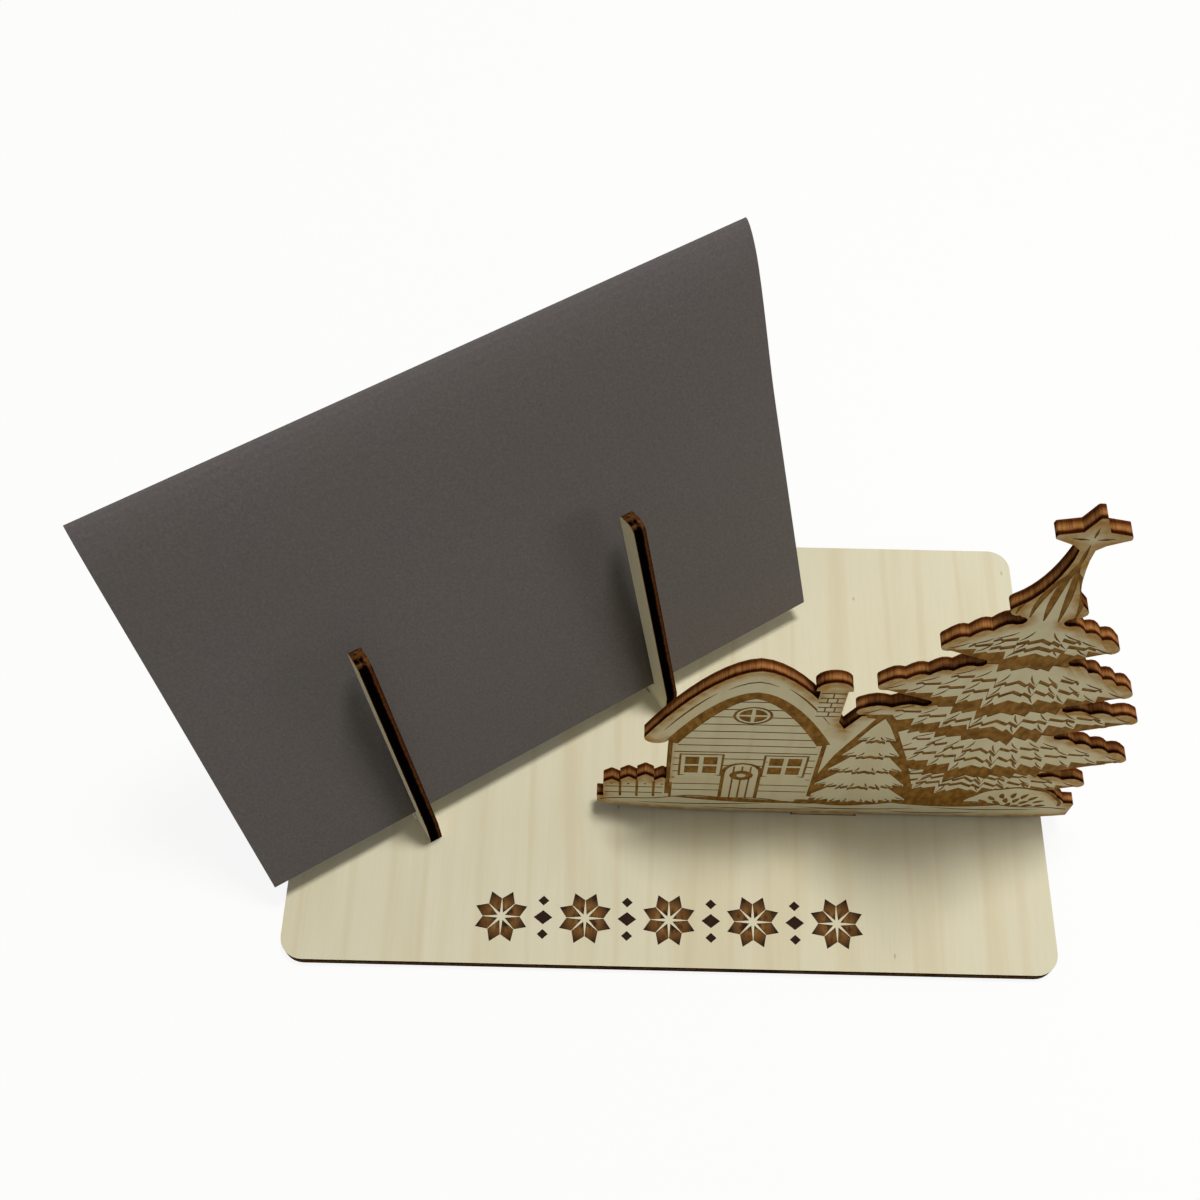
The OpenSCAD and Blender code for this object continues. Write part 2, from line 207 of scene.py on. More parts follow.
def veneer(tree, place, pale):
    """The sanded face ply's colour, and its fibres for the bump."""
    fibres = grain(tree, place, fibre_mm, 22.0, 2.0)
    face = tint(tree, linear(pale), "#CDC5A7", grain(tree, place, cloud_mm, 2.5, 2.0), 0.35, 0.7, 0.5)
    face = tint(tree, face, "#C4B68F", grain(tree, place, band_mm, 9.0, 1.0), 0.53, 0.66, 0.24)
    face = tint(tree, face, "#B7A880", grain(tree, place, streak_mm, 26.0, 4.0), 0.50, 0.74, 0.13)
    face = tint(tree, face, "#A08F66", fibres, 0.42, 0.70, 0.05)
    ring_place = node(tree, "VectorMath", {0: place, 1: (1.0, 0.06, 1.0)}, operation="MULTIPLY")
    rings = node(tree, "TexWave", {"Vector": ring_place, "Scale": math.tau / 20 / ring_mm, "Distortion": 7.0,
                                   "Detail": 1.0, "Detail Scale": 1.4}, "Fac", bands_direction="X")
    face = tint(tree, face, "#BDAB83", rings, 0.86, 1.0, 0.17)
    per_cell = (1 / fleck_cell_mm, 0.45 / fleck_cell_mm, 1 / fleck_cell_mm)
    cells = node(tree, "VectorMath", {0: place, 1: per_cell}, operation="MULTIPLY")
    away = node(tree, "TexVoronoi", {"Vector": cells, "Scale": 1.0, "Randomness": 1.0}, "Distance",
                voronoi_dimensions="2D")
    dot = node(tree, "MapRange", {0: away, 1: fleck_solid_to, 2: fleck_gone_at, 3: 0.5, 4: 0.0})
    chosen = node(tree, "Math", {0: away.node.outputs["Color"], 1: plain_cells}, operation="GREATER_THAN")
    fleck = node(tree, "Math", {0: dot, 1: chosen}, operation="MULTIPLY")
    return tint(tree, face, "#8E7546", fleck, 0.0, 1.0, 1.0), fibres


print(f"growth rings every {ring_mm:g} mm, at most one fleck every {fleck_cell_mm:g} mm")

# %% [markdown]
# The laser's heat leaves two marks on the show side. Beside the cuts the veneer turns amber:
# the panel's mesh, made further down, carries a scorch value that says how much. Where the
# laser only engraves, it leaves a shallow pocket with a brown floor, lighter in the panel's
# picture and deeper brown in the plate's band, with soot at the roots and points of the
# petals, where the beam slows down.

# %% Scorch and engraving
engraved_from = 0.03
face_ply = 0.7
halo_patch_mm, soot_mm = 3.0, 1.3
petal_point_mm, petal_root_mm = (3.6, 5.9), (2.9, 1.3)
light_burn = [(0.30, "#624008"), (0.5, "#80581C"), (0.72, "#987032")]
deep_burn = [(0.30, "#4A2C0C"), (0.5, "#68451C"), (0.72, "#826034")]


def scorched(tree, place, face):
    """The face with an amber halo by the mesh's scorch value, uneven from place to place."""
    scorch = node(tree, "Attribute", {}, "Fac", attribute_name="scorch")
    patches = grain(tree, place, halo_patch_mm, 1.0)
    uneven = node(tree, "MapRange", {0: patches, 1: 0.3, 2: 0.7, 3: 0.55, 4: 1.25})
    halo = node(tree, "Math", {0: scorch, 1: uneven}, operation="MULTIPLY", use_clamp=True)
    return tint(tree, face, "#A67C3A", halo, 0.0, 1.0, 1.0)


def star_soot(tree, place, noise, pitch, row_y):
    """How much soot lies at a place in a row of engraved stars."""
    across = node(tree, "SeparateXYZ", {0: place}, "X")
    x = node(tree, "Math", {0: across, 1: -pitch / 2, 2: pitch / 2}, operation="WRAP")
    y = node(tree, "Math", {0: across.node.outputs["Y"], 1: row_y}, operation="SUBTRACT")
    middle = node(tree, "CombineXYZ", {0: x, 1: y})
    r = node(tree, "VectorMath", {0: middle}, operation="LENGTH")
    ragged = node(tree, "MapRange", {0: noise, 1: 0.3, 2: 0.7, 3: -0.9, 4: 0.9})
    r = node(tree, "Math", {0: r, 1: ragged}, operation="ADD")
    points, roots = (node(tree, "MapRange", {0: r, 1: clean, 2: black, 3: 0.0, 4: 0.95})
                     for clean, black in (petal_point_mm, petal_root_mm))
    return node(tree, "Math", {0: points, 1: roots}, operation="MAXIMUM")


def engraved(tree, place, z, face, star_row):
    """The face with a burnt floor wherever it lies a little below the show side."""
    low, lower = BOARD - engraved_from, BOARD - 2 * engraved_from
    deep = node(tree, "MapRange", {0: z, 1: low, 2: lower, 3: 0.0, 4: 1.0})
    # The flat sides of the plies further down aren't engraved
    in_face_ply = node(tree, "Math", {0: z, 1: BOARD - face_ply + 0.1}, operation="GREATER_THAN")
    pocket = node(tree, "Math", {0: deep, 1: in_face_ply}, operation="MULTIPLY")
    burn = grain(tree, place, soot_mm, 2.0)
    floor = node(tree, "ValToRGB", {"Fac": burn}, stops=deep_burn if star_row else light_burn)
    if star_row:
        floor = tint(tree, floor, "#1E0E06", star_soot(tree, place, burn, *star_row), 0.0, 1.0, 1.0)
    return node(tree, "Mix", {0: pocket, 6: face, 7: floor}, data_type="RGBA")


print("floors count as engraved from", engraved_from, "mm under the face")

# %% [markdown]
# A laser leaves every cut edge charred. From the plain side to the show side, an edge of the
# panel is dark at the skin, brown in the core and nearly black at the glue line; the plate's
# edge is darker all through. The forks' edges are charred too, but their ramp darkens them
# to nearly black as painted shade, because these edges face away from the lamp. One brown
# skin is left on them, and the prongs' up-facing tops get a painted highlight in lighter
# brown spots. Colour ramps through the thickness give these layers. Stripes run across them
# where the beam pulsed, drawn as coarse as the picture needs to show them.

# %% Burnt edges
beam_stripe_mm, wave_mm, char_patch_mm, highlight_spot_mm = 0.38, 2.2, 11.0, 1.6
pocket_wall_mm = 0.12
plain_edge = [(0.0, "#5A3111"), (0.10, "#5A3111"), (0.15, "#4C2208"), (0.24, "#65391A"), (0.36, "#85562D"),
              (0.52, "#A17341"), (0.66, "#946535"), (0.75, "#5C3018"), (0.81, "#38150A"), (1.0, "#2C1007")]
dark_edge = [(0.0, "#28190D"), (0.3, "#4C371F"), (0.5, "#584225"), (0.75, "#332212"), (1.0, "#20140A")]
# The forks' nearly black layers are real char, darkened further as painted shade
charred_and_shaded_edge = [(0.0, "#20100A"), (0.07, "#4A2810"), (0.22, "#58341A"), (0.30, "#1A0C06"),
                (0.38, "#040303"), (0.94, "#030303"), (1.0, "#20100A")]


def burnt(tree, place, z, edge):
    """The colour of a cut edge, with layers that follow the ramp edge through the thickness."""
    waves = grain(tree, place, wave_mm, 1.0, 2.0)
    wobble = node(tree, "MapRange", {0: waves, 1: 0.3, 2: 0.7, 3: -0.12, 4: 0.12})
    t = node(tree, "Math", {0: z, 1: wobble}, operation="ADD")
    t = node(tree, "Math", {0: t, 1: BOARD}, operation="DIVIDE")
    layers = node(tree, "ValToRGB", {"Fac": t}, stops=edge)
    thin = node(tree, "VectorMath", {0: place, 1: (1 / beam_stripe_mm, 1 / beam_stripe_mm, 0.12)},
                operation="MULTIPLY")
    stripes = node(tree, "TexNoise", {"Vector": thin, "Scale": 1.0, "Detail": 3.0})
    char = tint(tree, layers, "#8A5A44", stripes, 0.40, 0.68, 0.6, "MULTIPLY")
    patches = grain(tree, place, char_patch_mm, 1.0, 1.0)
    char = tint(tree, char, "#8C6A5A", patches, 0.50, 0.68, 0.8, "MULTIPLY")
    # The walls of the engraved pockets are as brown as their floors
    wall_foot = BOARD - pocket_wall_mm
    return tint(tree, char, "#5E3D14", z, wall_foot - 0.01, wall_foot + 0.01, 1.0)


def painted_top_highlight(tree, place, char):
    """Painted highlight: lighter brown spots on edges that face up, as on the prongs' tops."""
    up = node(tree, "SeparateXYZ", {0: node(tree, "TexCoord", {}, "Normal")}, "Z")
    level = node(tree, "MapRange", {0: up, 1: 0.75, 2: 0.95, 3: 0.0, 4: 1.0})
    spot = node(tree, "MapRange", {0: grain(tree, place, highlight_spot_mm, 1.0), 1: 0.42, 2: 0.62, 3: 0.0, 4: 0.8})
    # Painted highlight, broken into spots, wherever the edge faces up
    highlight_mask = node(tree, "Math", {0: level, 1: spot}, operation="MULTIPLY")
    return tint(tree, char, "#6A4422", highlight_mask, 0.0, 1.0, 1.0)


print("edge layers:", len(plain_edge), "on the panel,", len(dark_edge), "on the plate,",
      len(charred_and_shaded_edge), "on the forks")

# %% [markdown]
# The recipes come together in one material per board. Bare poplar scatters light almost
# evenly, so its roughness is high, and only a trace of sheen stays on the sanded faces.
# Charcoal has none. The fibres also lift the surface by a few hundredths of a millimetre.

# %% Plywood
def plywood(name, board, pale="#D4CDB1", edge=plain_edge, star_row=None):
    """Laser-cut poplar plywood for one board."""
    material, tree, surface = new_material(name)
    place, z, is_face = board_space(tree, board)
    face, fibres = veneer(tree, place, pale)
    face = engraved(tree, place, z, scorched(tree, place, face), star_row)
    char = burnt(tree, place, z, edge)
    # The prongs' up-facing tops get a painted highlight
    if edge is charred_and_shaded_edge:
        char = painted_top_highlight(tree, place, char)
    colour = node(tree, "Mix", {0: is_face, 6: char, 7: face}, data_type="RGBA")
    sheen = node(tree, "Math", {0: is_face, 1: 0.1}, operation="MULTIPLY")
    bump = node(tree, "Bump", {"Height": fibres, "Strength": 0.12, "Distance": 0.05 * MM})
    tree.links.new(colour, surface.inputs["Base Color"])
    tree.links.new(sheen, surface.inputs["Specular IOR Level"])
    tree.links.new(bump, surface.inputs["Normal"])
    surface.inputs["Roughness"].default_value = 0.72
    return material


star_pitch, star_row_y = 19.6, -46.3
board_materials = {
    "base": plywood("sanded_poplar_plate", board_frames["base"], edge=dark_edge,
                    star_row=(star_pitch, star_row_y)),
    "left_fork": plywood("sanded_poplar_left_fork", board_frames["left_fork"], edge=charred_and_shaded_edge),
    "right_fork": plywood("sanded_poplar_right_fork", board_frames["right_fork"], edge=charred_and_shaded_edge),
    "panel": plywood("sanded_poplar_panel", board_frames["panel"], pale="#D2C9A6"),
}
for name, obj in nodes.items():
    for piece, material in board_materials.items():
        if name.startswith(piece):
            obj.material_slots[0].material = material
print("plywood on", sum(name != "folded_card" for name in nodes), "plies")

# %% [markdown]
# The card is uncoated card stock, dyed dark grey in the pulp. It has hardly any gloss, and
# from close by the fibres give it a fine mottle of slightly lighter and darker specks. They
# could come from a picture of paper, but that would repeat across the card, and a noise
# doesn't. Real paper fibres wouldn't show at all, so the specks are drawn 0.6 mm wide.

# %% Card stock
mottle_mm, tone_mm = 0.6, 24.0
card_greys = [(0.30, "#55504D"), (0.5, "#5C5755"), (0.7, "#645F5B")]


def card_stock():
    """Matt dark grey card."""
    material, tree, surface = new_material("grey_card_stock")
    place = node(tree, "VectorMath", {0: node(tree, "TexCoord", {}, "Object"), 1: (1 / MM,) * 3},
                 operation="MULTIPLY")
    mottle = node(tree, "TexNoise", {"Vector": place, "Scale": 1 / mottle_mm, "Detail": 4.0,
                                     "Roughness": 0.75})
    tone = node(tree, "TexNoise", {"Vector": place, "Scale": 1 / tone_mm, "Detail": 2.0})
    colour = node(tree, "ValToRGB", {"Fac": mottle}, stops=card_greys)
    colour = tint(tree, colour, "#5B5650", tone, 0.3, 0.7, 0.2)
    bump = node(tree, "Bump", {"Height": mottle, "Strength": 0.15, "Distance": 0.04 * MM})
    tree.links.new(colour, surface.inputs["Base Color"])
    tree.links.new(bump, surface.inputs["Normal"])
    surface.inputs["Roughness"].default_value = 0.95
    surface.inputs["Specular IOR Level"].default_value = 0.1
    return material


nodes["folded_card"].material_slots[0].material = card_stock()
print("card stock on folded_card")

# %% [markdown]
# The picture on the panel is burnt in. Seen from close by, brown is the shallow pocket and
# cream is the untouched wood. It could be a picture laid on a flat plate, but then its edges
# would catch no light, so it becomes real relief. It is drawn here as a painter would, back
# to front: each shape is a flat polygon that either burns or keeps what lies under it, and
# the last one that covers a place decides. Coordinates are the panel's own millimetres, x to
# the right and z up.

# %% Drawing tools
painting = []


def counter_clockwise(loop):
    """The same loop of points, turned so that it runs counter-clockwise."""
    x, z = loop[:, 0], loop[:, 1]
    area = np.sum(x * np.roll(z, -1) - np.roll(x, -1) * z)
    return loop if area > 0 else loop[::-1]


def put(points, burns):
    """Adds one polygon to the painting."""
    painting.append((counter_clockwise(np.array(points, float)), burns))


def rect(x0, z0, x1, z1, burns):
    """An upright rectangle, from one corner to the opposite one."""
    put([(x0, z0), (x1, z0), (x1, z1), (x0, z1)], burns)


def disc(middle, radius, burns, steps=16):
    """A round spot."""
    a = np.linspace(0, math.tau, steps, endpoint=False)
    put(np.stack([middle[0] + radius * np.cos(a), middle[1] + radius * np.sin(a)], 1), burns)


def stroke(line, width, taper=0.0):
    """A burnt stroke along line; taper 1 brings both its ends to a point."""
    line = np.array(line, float)
    along = np.gradient(line, axis=0)
    along /= np.linalg.norm(along, axis=1)[:, None]
    t = np.linspace(0, 1, len(line))
    half = width / 2 * ((1 - taper) + taper * np.sin(math.pi * (0.04 + 0.92 * t)) ** 0.8)
    side = np.stack([-along[:, 1], along[:, 0]], 1) * half[:, None]
    put(np.concatenate([line + side, (line - side)[::-1]]), True)


def curve(start, end, sag, steps=6):
    """Points from start to end, bowed sideways by sag."""
    start, end = np.array(start, float), np.array(end, float)
    t = np.linspace(0, 1, steps)[:, None]
    square = np.array([start[1] - end[1], end[0] - start[0]])
    square /= np.linalg.norm(square)
    return start + (end - start) * t + square * sag * 4 * t * (1 - t)


print("a bow of 10 mm that sags by 1 mm:", curve((0, 0), (10, 0), 1.0, 5).tolist())

# %% [markdown]
# Both firs are built up like roof tiles. A skirt is one layer of boughs: cream snow above, a
# hem of pointed tufts that sags towards the trunk, a burnt vein in every tuft, and a burnt
# shade under the hem that fades out at the tips. The tufts could be single drawn shapes, but
# one hem that zigzags out from the trunk leaves no gaps between them.

# %% Skirts of boughs
tuft_shape = ((0.0, 0.0), (0.42, 0.55), (0.50, 0.30), (0.86, 1.0))
vein_mm = 0.45


def half_hem(x, side, tip, low, tuft, dip):
    """Half a skirt's hem from the trunk to its tip, and its tufts' ends: side, point, share of the reach."""
    reach, z = tip
    count = max(2, round(reach / tuft))
    run, ends = [], []
    for k in range(count):
        sway = 1 + 0.30 * math.sin(5.1 * k + 0.7 * reach + z)
        for part, drop in tuft_shape:
            u = (k + part) / count
            out = min(reach * u + (tuft * 0.30 * u if drop else 0.0), reach)
            height = low + (z - low) * u ** 1.3 + dip * (0.35 - drop * sway) * (1 - 0.5 * u)
            run.append((x + side * out, height))
        ends.append((side, run[-1], u))
    return run + [(x + side * reach, z)], ends


def skirt(x, left, right, top, tuft, dip, shade, rim=0.8):
    """One layer of boughs between its left and right tips, each given as its reach and height.

    Its tufts are tuft wide and dip long, and each points away from the trunk. Under the hem
    lies a burnt shade, which fades out at the tips to a burnt rim.
    """
    widest = max(left[0], right[0])
    low = min(left[1], right[1]) - 0.17 * widest
    left_run, left_ends = half_hem(x, -1, left, low, tuft, dip)
    right_run, right_ends = half_hem(x, 1, right, low, tuft, dip)
    hem = np.array(left_run[::-1] + right_run[1:])
    out = np.abs(hem[:, 0] - x) / widest
    flank = [(x + 0.45 * right[0], right[1] + 0.62 * (top - right[1])), (x, top),
             (x - 0.45 * left[0], left[1] + 0.62 * (top - left[1]))]
    put(np.concatenate([hem - np.stack([0 * out, rim + shade * (1 - out ** 2)], 1), flank]), True)
    put(np.concatenate([hem, flank]), False)
    for side, (tip_x, tip_z), u in left_ends + right_ends:
        root = (tip_x - side * dip * (0.25 + 0.9 * u), tip_z + dip * (1.5 - 0.7 * u))
        stroke(curve(root, (tip_x - side * 0.2, tip_z + 0.7), -side * 0.3, 4), vein_mm, 1.0)


print("a tuft has", len(tuft_shape), "corners and a vein of", vein_mm, "mm")

# %% [markdown]
# The tall fir gives the panel's right end its outline, so its boughs end where the cut
# outline has its points, and two more on the left hang over the panel's middle. Each pair
# carries two or three skirts, drawn from the ground upwards so that upper ones hang over
# lower ones, with brown ground between them. The topmost boughs are too narrow for that:
# they are strokes that sweep down from the leader.

# %% Tall fir
fir_x = 66.0
left_boughs = [(8.5, 102.5), (18.0, 88.5), (27.0, 71.5), (29.5, 60.0), (31.0, 43.0), (28.0, 26.0)]
right_boughs = [(5.6, 102.0), (15.5, 88.5), (24.0, 70.0), (29.0, 58.0), (33.0, 38.5), (28.0, 24.5)]
fir_ground = [(-20, 10), (20, 10), (24, 40), (12, 75), (0, 96), (-14, 75), (-24, 40)]
top_boughs = [(-6.8, -1.6, 1.0), (-4.2, -1.0, 1.2), (-1.6, -0.5, 1.5), (0.9, 0.3, 1.3), (3.4, 1.2, 1.1)]
tuft_mm, tuft_dip_mm = 5.4, 3.7


def draw_tall_fir():
    """Burnt ground, then the skirts of the five lower pairs of boughs, then the topmost boughs."""
    put([(fir_x + dx, z) for dx, z in fir_ground], True)
    for i in range(len(left_boughs) - 1, 0, -1):
        (lw, lz), (rw, rz) = left_boughs[i], right_boughs[i]
        (_, left_above), (_, right_above) = left_boughs[i - 1], right_boughs[i - 1]
        lift = min(left_above - lz, right_above - rz)
        top = max(left_above, right_above) + 2
        layers = 3 if lift > 13 else 2
        for k in range(layers):
            short, up = 1 - 0.24 * k, k * (lift - 7.0) / layers
            skirt(fir_x, ((lw - 1.0) * short, lz + up), ((rw - 1.0) * short, rz + up), top + k,
                  tuft_mm - 0.5 * k, tuft_dip_mm, 5.0 if k == 0 else 0.6)
    for foot, sag, width in top_boughs:
        start = (fir_x - 1.1 + foot * 0.10, 120.0 - abs(foot))
        stroke(curve(start, (fir_x + foot * 1.08, 98.5 + 0.45 * abs(foot)), sag, 8), width, 1.0)


draw_tall_fir()
print("tall fir:", len(painting), "shapes")

# %% [markdown]
# A young fir stands in front of the tall one. It is made of the same skirts with smaller
# tufts, on a burnt patch that sets it off from the boughs behind.

# %% Young fir
young_x = 43.0
young_ground = [(-14, 10), (15, 10), (9, 34), (1.2, 59), (-1.2, 59), (-8, 38)]
young_skirts = [(13.5, 12.0, 27.0), (22.0, 10.2, 35.0), (30.5, 8.2, 43.0), (38.5, 6.2, 50.0),
                (46.5, 4.0, 57.0)]
young_tuft_mm, young_dip_mm = 2.9, 2.2

before = len(painting)
put([(young_x + dx, z) for dx, z in young_ground], True)
for z, reach, top in young_skirts:
    skirt(young_x, (reach, z), (reach, z), top, young_tuft_mm, young_dip_mm, 0.8, 0.6)
print("young fir:", len(painting) - before, "shapes")

# %% [markdown]
# The cottage is plain boarding under thick snow. The roof's curve is the outline of the
# panel there, so the same formula, moved inwards, gives the gable's shade and the drift
# lines in the snow. Boards are thin strokes at even heights, cut to the gable's width.

# %% Cottage walls
cottage_x = 15.5
roof_half, eaves_z, roof_z = 22.5, 45.0, 77.0
wall_half, wall_foot_z = roof_half - 5.5, 12.0
board_pitch = 3.6


def roof_line(inset):
    """The outline of the snowy gable, moved inwards by inset."""
    u = np.linspace(-1, 1, 21)
    z = eaves_z + (roof_z - eaves_z) * (1 - np.abs(u) ** 1.7)
    shrink = (roof_half - inset) / roof_half
    return np.stack([cottage_x + u * roof_half * shrink, eaves_z + (z - eaves_z) * shrink - inset * 0.35], 1)


def draw_walls():
    """Cream walls, shade under the snow, boards and the two corner posts."""
    gable = roof_line(6.0)
    rect(cottage_x - wall_half, wall_foot_z, cottage_x + wall_half, eaves_z, False)
    stroke(gable, 3.0)
    for z in np.arange(16.5, 66, board_pitch):
        if z < eaves_z - 4:
            half = wall_half - 1.2
        else:
            half = -np.interp(z, gable[:11, 1], gable[:11, 0] - cottage_x) - 1.4
        if half > 2:
            stroke([(cottage_x - half, z), (cottage_x, z + 0.12), (cottage_x + half, z)], 0.42)
    for post in (cottage_x - wall_half + 0.3, cottage_x + wall_half - 0.3):
        stroke([(post, wall_foot_z + 2), (post, eaves_z - 2)], 1.0)


before = len(painting)
draw_walls()
print("walls:", len(painting) - before, "shapes, boards every", board_pitch, "mm")

# %% [markdown]
# Windows and a door make the cottage look lived in. Every frame is burnt first and then
# filled with cream a little smaller, so that a thin dark line stays round it. Panes are
# burnt again, with the cross bars left standing between them.

# %% Windows and door
door_half, door_spring_z = 4.6, 28.0
round_window, round_pane = (cottage_x, 57), 3.0
wreath = (cottage_x, 25.5)


def draw_window(x):
    """A window with four panes and snow on its sill."""
    rect(x - 5, 25, x + 5, 37, True)
    rect(x - 4.5, 25.5, x + 4.5, 36.5, False)
    for side in (-1, 1):
        for z0, z1 in ((26.6, 30.4), (31.4, 35.4)):
            rect(x + side * 0.5, z0, x + side * 3.6, z1, True)
    snow = curve((x - 5.6, 24.4), (x + 5.6, 24.4), 1.6, 9)
    put(np.concatenate([snow, [(x + 5.6, 23.4), (x - 5.6, 23.4)]]), False)


def draw_door():
    """A boarded door with a round head and a wreath."""
    head = [(cottage_x - door_half * math.cos(a), door_spring_z + door_half * math.sin(a))
            for a in np.linspace(0, math.pi, 9)]
    door = [(cottage_x - door_half, wall_foot_z), *head, (cottage_x + door_half, wall_foot_z)]
    put(door, True)
    put([(cottage_x + (x - cottage_x) * 0.82, z - 0.8 if z > 20 else z) for x, z in door], False)
    for dx in (-1.9, 0, 1.9):
        stroke([(cottage_x + dx, wall_foot_z), (cottage_x + dx, 30.5)], 0.4)
    disc(wreath, 2.7, True)
    disc(wreath, 1.1, False, 10)


def draw_round_window():
    """A round window in the gable, with four panes like slices of a cake."""
    x, z = round_window
    disc(round_window, 4.2, True)
    disc(round_window, 3.6, False)
    for side in (-1, 1):
        for up in (-1, 1):
            arc = [(x + side * round_pane * math.cos(a), z + up * round_pane * math.sin(a))
                   for a in np.linspace(0.12, math.pi / 2 - 0.12, 5)]
            put([(x + side * 0.45, z + up * 0.45), *arc], True)


before = len(painting)
draw_window(cottage_x - 9.5)
draw_window(cottage_x + 9.3)
draw_door()
draw_round_window()
print("windows and door:", len(painting) - before, "shapes")

# %% [markdown]
# Two more details belong to the roof: short drift lines that follow its curve, and a brick
# chimney whose upright joints change place from course to course.

# %% Roof
chimney_x = cottage_x + 12.5
course = 2.1

before = len(painting)
for first, last, inset in ((1, 6, 2.2), (7, 12, 2.6), (13, 18, 2.0)):
    stroke(roof_line(inset)[first:last + 1], 0.5, 1.0)
rect(chimney_x + 0.4, 57, chimney_x + 5.2, 68.2, False)
for i, z in enumerate(np.arange(57.5, 68.6, course)):
    stroke([(chimney_x + 0.3, z), (chimney_x + 5.3, z)], 0.4)
    if z < 67:
        for dx in (1.9, 3.9) if i % 2 else (2.9,):
            stroke([(chimney_x + dx, z), (chimney_x + dx, z + course)], 0.35)
print("roof:", len(painting) - before, "shapes")

# %% [markdown]
# A picket fence runs along the panel's low left end, where the cut outline has the pickets'
# points. The pickets stay cream: only the gaps between them, the rails and a nail in each
# picket are burnt.

# %% Fence
fence_x, picket_w = -16.0, 3.9

before = len(painting)
for i in range(1, 5):
    x = fence_x + picket_w * i
    stroke([(x, 12), (x, 21.5 - 0.4 * abs(i - 2))], 0.6)
for z in (14.2, 17.6):
    stroke([(-15.6, z), (-2.2, z)], 0.45)
for i in range(4):
    disc((-14.1 + picket_w * i, 19.4), 0.35, True, 8)
print("fence:", len(painting) - before, "shapes")

# %% [markdown]
# The round bush at the right is a cream half disc with a bumpy rim and rows of leaf strokes
# that all point to its middle. The drifts on the ground cover its foot, and the fir's and
# the cottage's, with a wavy band of snow, thin wind lines and a little shade.

# %% Bush and ground
bush_x, bush_z, bush_r = 80.0, 10.0, 11.5
ground_low_edge = [(94.4, 6.8), (80, 4.2), (12, 4.2), (-4, 5.6), (-16.8, 8.8)]


def draw_bush():
    """A bush whose rim has five bumps, and three rows of leaves."""
    a = np.linspace(0.12, math.pi - 0.12, 25)
    r = bush_r + 0.5 * np.abs(np.sin(5 * a))
    rim = np.stack([bush_x + r * np.cos(a), bush_z + r * np.sin(a)], 1)
    put(np.concatenate([rim, [(bush_x - bush_r, bush_z), (bush_x + bush_r, bush_z)]]), False)
    stroke(rim, 0.8)
    for radius, count in ((8.8, 9), (5.8, 6), (2.9, 3)):
        inner = radius - 2.6
        for a in math.pi * (np.arange(count) + 0.5) / count:
            foot = (bush_x + radius * math.cos(a), bush_z + radius * math.sin(a))
            tip = (bush_x + inner * math.cos(a), bush_z + inner * math.sin(a) * 0.9)
            stroke(curve(tip, foot, 0.3), 1.3, 1.0)


def draw_ground():
    """Snow along the panel's foot, its wind lines, and shade under what stands on it."""
    x = np.linspace(-16.8, 94.0, 60)
    drift = np.stack([x, 11.2 + 1.5 * np.sin(x * 0.11 + 0.6) + 0.5 * np.sin(x * 0.37)], 1)
    put(np.concatenate([drift, ground_low_edge]), False)
    stroke(drift, 0.5)
    for x0, x1, z in ((-8, 22, 8.6), (30, 58, 7.4), (62, 88, 8.8), (8, 40, 6.2), (52, 74, 6.0)):
        stroke(curve((x0, z), (x1, z + 0.6), -0.9, 9), 0.55, 1.0)
    for x0, x1, thick in ((0, 31, 2.2), (34, 48, 2.4), (52, 78, 3.2)):
        start = (x0, 11.5 + 1.5 * math.sin(x0 * 0.11 + 0.6))
        end = (x1, 11.2 + 1.5 * math.sin(x1 * 0.11 + 0.6))
        stroke(curve(start, end, -0.4, 9), thick, 1.0)


before = len(painting)
draw_bush()
draw_ground()
print("bush and ground:", len(painting) - before, "shapes")

# %% [markdown]
# The star on the fir's top has its shape from the cut outline. Burnt creases run from its
# middle into the side arms and the top arm, and a long one runs down the leader.

# %% Star
star_x, star_z = fir_x - 0.9, 126.0

for degrees in (7, 90, 173):
    arm = np.array([math.cos(math.radians(degrees)), math.sin(math.radians(degrees))])
    stroke([np.array([star_x, star_z]) + arm * r for r in (0.6, 2.0, 3.6)], 0.6, 1.0)
stroke([(star_x, star_z - 1.5), (star_x, star_z - 5), (star_x - 0.2, star_z - 12)], 0.8, 1.0)
print("whole painting:", len(painting), "shapes")

# %% [markdown]
# The painting is turned into relief in three steps. The first reads the outline of the
# panel's front ply from its mesh: the edges of its show side that only one face uses,
# walked through in order. Typing the outline in again could let the two drift apart.

# %% Outline of the front ply
def walk(following):
    """The corners of a closed loop in order, where following gives the next one after each."""
    order = [min(following)]
    while following[order[-1]] != order[0]:
        order.append(following[order[-1]])
    return order


def outline_of(mesh, front_y):
    """The outline of a ply's show side at front_y as (x, z) points in millimetres, in order."""
    ids, places, edges = {}, [], set()
    for polygon in mesh.polygons:
        corners = [mesh.vertices[i].co / MM for i in polygon.vertices]
        if max(abs(c.y - front_y) for c in corners) > 0.01:
            continue
        loop = []
        for c in corners:
            key = (round(c.x, 4), round(c.z, 4))
            if key not in ids:
                ids[key] = len(places)
                places.append((c.x, c.z))
            loop.append(ids[key])
        edges.update(zip(loop, loop[1:] + loop[:1]))
    rim = {a: b for a, b in edges if (b, a) not in edges}
    return counter_clockwise(np.array([places[i] for i in walk(rim)]))


outline = outline_of(nodes["panel_front_ply"].data, panel_front_y)
print("outline:", len(outline), "points")

# %% [markdown]
# The laser's heat browns the veneer most where two cuts run close together, as in the
# boughs' tips. So each stretch of the outline adds its own share of heat, which dies away
# over a millimetre or two. The mesh needs corners there to carry the values, and rings of
# extra points just inside the outline give it some.

